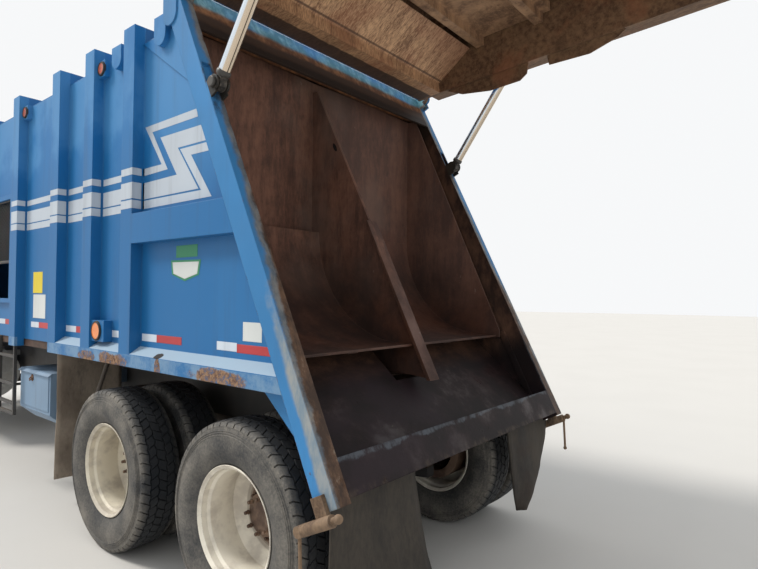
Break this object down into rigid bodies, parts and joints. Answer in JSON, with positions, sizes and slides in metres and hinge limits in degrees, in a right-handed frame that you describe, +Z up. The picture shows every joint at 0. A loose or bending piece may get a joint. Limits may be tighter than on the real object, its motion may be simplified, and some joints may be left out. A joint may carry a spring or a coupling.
{
  "type": "garbage truck",
  "caption": "Conventional three-axle garbage truck with a ribbed steel rear-loading body, raised tailgate with packer, ejector panel, tilting hood and turning wheels.",
  "frame": {"origin": "on the ground under the middle of the whole box", "axes": "X to the truck's left, Y to its rear, Z up"},
  "size_m": [2.62, 10.72, 5.109],
  "materials": {
    "frame_black": "satin",
    "frame_dark": "satin",
    "body_blue": "satin",
    "cab_blue": "gloss",
    "rear_blue": "satin",
    "gate_blue": "satin",
    "worn_steel": "rusty",
    "rim_cream": "satin",
    "tyre": "matte",
    "rubber": "matte",
    "engine": "matte",
    "cast": "matte",
    "steel": "satin",
    "lens_amber": "gloss",
    "lens_red": "gloss",
    "lens_clear": "gloss",
    "chrome": "polished",
    "alloy": "satin",
    "bumper": "satin",
    "vinyl": "matte",
    "plastic": "matte",
    "barrel": "satin",
    "box_blue": "satin"
  },
  "bodies": {
    "truck": {"front_axle": "cast", "drive_axles": "cast", "suspension": "frame_dark", "frame_rails": "frame_black", "front_bumper": "bumper", "engine_block": "engine", "radiator": "alloy", "driveline": "cast", "body_floor": "body_blue", "side_lamps": "lens_amber", "body_side_left": "body_blue", "body_side_right": "body_blue", "body_front_wall": "body_blue", "body_roof": "body_blue", "rear_frame": "rear_blue", "turnbuckles": "cast", "cab_shell": "cab_blue", "seats": "vinyl", "dashboard": "plastic", "fuel_tank": "alloy", "hydraulic_tank": "frame_black", "battery_box": "frame_black", "tool_box": "box_blue", "side_ladder": "frame_black", "exhaust_stack": "steel", "mudflaps": "rubber"},
    "door_left": {"door_left": "cab_blue"},
    "door_right": {"door_right": "cab_blue"},
    "hood": {"hood": "cab_blue", "head_lamps": "lens_clear"},
    "knuckle_left": {"knuckle_left": "cast"},
    "knuckle_right": {"knuckle_right": "cast"},
    "tie_rod": {"tie_rod": "steel"},
    "steer_wheel_left": {"steer_tyre_left": "tyre", "steer_rim_left": "rim_cream"},
    "steer_wheel_right": {"steer_tyre_right": "tyre", "steer_rim_right": "rim_cream"},
    "twin_wheel_front_left": {"twin_tyres_front_left": "tyre", "twin_rims_front_left": "rim_cream"},
    "twin_wheel_front_right": {"twin_tyres_front_right": "tyre", "twin_rims_front_right": "rim_cream"},
    "twin_wheel_rear_left": {"twin_tyres_rear_left": "tyre", "twin_rims_rear_left": "rim_cream"},
    "twin_wheel_rear_right": {"twin_tyres_rear_right": "tyre", "twin_rims_rear_right": "rim_cream"},
    "ejector": {"ejector_panel": "worn_steel"},
    "tailgate": {"tailgate_side_left": "gate_blue", "tailgate_side_right": "gate_blue", "tailgate_cover": "gate_blue", "hopper_pan": "worn_steel", "tail_lamps": "lens_red"},
    "packer_carriage": {"packer_carriage": "worn_steel"},
    "sweep_blade": {"sweep_blade": "worn_steel"},
    "sweep_barrels": {"sweep_barrels": "barrel"},
    "sweep_rods": {"sweep_rods": "chrome"},
    "lift_barrel_left": {"lift_barrel_left": "barrel"},
    "lift_barrel_right": {"lift_barrel_right": "barrel"},
    "lift_rod_left": {"lift_rod_left": "chrome"},
    "lift_rod_right": {"lift_rod_right": "chrome"}
  },
  "joints": [
    {"name": "tailgate_lift", "type": "hinge", "parent": "truck", "child": "tailgate", "pos_m": [0, 2.03998, 3.445], "axis": [1, 0, 0], "range_deg": [-67.7, 0]},
    {"name": "packer_slide", "type": "slide", "parent": "tailgate", "child": "packer_carriage", "axis": [0, 0.9974, 0.0725], "range_m": [0, 0.85]},
    {"name": "blade_sweep", "type": "hinge", "parent": "packer_carriage", "child": "sweep_blade", "pos_m": [0, 3.39226, 4.01407], "axis": [1, 0, 0], "range_deg": [0, 55]},
    {"name": "sweep_barrels", "type": "hinge", "parent": "packer_carriage", "child": "sweep_barrels", "pos_m": [0, 2.66781, 3.91124], "axis": [1, 0, 0], "range_deg": [-0.5, 4.85]},
    {"name": "sweep_rods", "type": "slide", "parent": "sweep_barrels", "child": "sweep_rods", "axis": [0, -0.9335, -0.3587], "range_m": [-0.001, 0.1969]},
    {"name": "ejector_slide", "type": "slide", "parent": "truck", "child": "ejector", "axis": [0, -1, 0], "range_m": [0, 3.25]},
    {"name": "lift_barrel_left", "type": "hinge", "parent": "tailgate", "child": "lift_barrel_left", "pos_m": [1.18, 3.65065, 4.56882], "axis": [1, 0, 0], "range_deg": [-4, 0.5]},
    {"name": "lift_rod_left", "type": "slide", "parent": "lift_barrel_left", "child": "lift_rod_left", "axis": [0, 0.5821, 0.8131], "range_m": [-0.001, 0.8222]},
    {"name": "lift_barrel_right", "type": "hinge", "parent": "tailgate", "child": "lift_barrel_right", "pos_m": [-1.18, 3.65065, 4.56882], "axis": [1, 0, 0], "range_deg": [-4, 0.5]},
    {"name": "lift_rod_right", "type": "slide", "parent": "lift_barrel_right", "child": "lift_rod_right", "axis": [0, 0.5821, 0.8131], "range_m": [-0.001, 0.8222]},
    {"name": "steer_left", "type": "hinge", "parent": "truck", "child": "knuckle_left", "pos_m": [0.895, -4.31002, 0.5], "axis": [0, 0, 1], "range_deg": [-35, 35]},
    {"name": "steer_right", "type": "hinge", "parent": "truck", "child": "knuckle_right", "pos_m": [-0.895, -4.31002, 0.5], "axis": [0, 0, 1], "range_deg": [-35, 35]},
    {"name": "tie_rod", "type": "hinge", "parent": "knuckle_left", "child": "tie_rod", "pos_m": [0.895, -4.13502, 0.35], "axis": [0, 0, 1], "range_deg": [-35, 35]},
    {"name": "steer_wheel_left", "type": "hinge", "parent": "knuckle_left", "child": "steer_wheel_left", "pos_m": [1.03, -4.31002, 0.5], "axis": [1, 0, 0], "continuous": true},
    {"name": "steer_wheel_right", "type": "hinge", "parent": "knuckle_right", "child": "steer_wheel_right", "pos_m": [-1.03, -4.31002, 0.5], "axis": [1, 0, 0], "continuous": true},
    {"name": "twin_wheel_front_left", "type": "hinge", "parent": "truck", "child": "twin_wheel_front_left", "pos_m": [1.075, 1.16798, 0.5], "axis": [1, 0, 0], "continuous": true},
    {"name": "twin_wheel_front_right", "type": "hinge", "parent": "truck", "child": "twin_wheel_front_right", "pos_m": [-1.075, 1.16798, 0.5], "axis": [1, 0, 0], "continuous": true},
    {"name": "twin_wheel_rear_left", "type": "hinge", "parent": "truck", "child": "twin_wheel_rear_left", "pos_m": [1.075, 2.53998, 0.5], "axis": [1, 0, 0], "continuous": true},
    {"name": "twin_wheel_rear_right", "type": "hinge", "parent": "truck", "child": "twin_wheel_rear_right", "pos_m": [-1.075, 2.53998, 0.5], "axis": [1, 0, 0], "continuous": true},
    {"name": "door_left", "type": "hinge", "parent": "truck", "child": "door_left", "pos_m": [1.032, -3.67502, 1.6], "axis": [0, 0, -1], "range_deg": [0, 65]},
    {"name": "door_right", "type": "hinge", "parent": "truck", "child": "door_right", "pos_m": [-1.032, -3.67502, 1.6], "axis": [0, 0, 1], "range_deg": [0, 65]},
    {"name": "hood_tilt", "type": "hinge", "parent": "truck", "child": "hood", "pos_m": [0, -5.15002, 0.9], "axis": [1, 0, 0], "range_deg": [0, 65]}
  ],
  "couplings": [
    {"joint": "lift_barrel_left", "follows": "tailgate_lift", "ratio": 0.05167},
    {"joint": "lift_rod_left", "follows": "tailgate_lift", "m_per_rad": -0.69413},
    {"joint": "lift_barrel_right", "follows": "tailgate_lift", "ratio": 0.05167},
    {"joint": "lift_rod_right", "follows": "tailgate_lift", "m_per_rad": -0.69413},
    {"joint": "sweep_barrels", "follows": "blade_sweep", "ratio": 0.079},
    {"joint": "sweep_rods", "follows": "blade_sweep", "m_per_rad": 0.20305},
    {"joint": "steer_right", "follows": "steer_left", "ratio": 1},
    {"joint": "tie_rod", "follows": "steer_left", "ratio": -1}
  ]
}
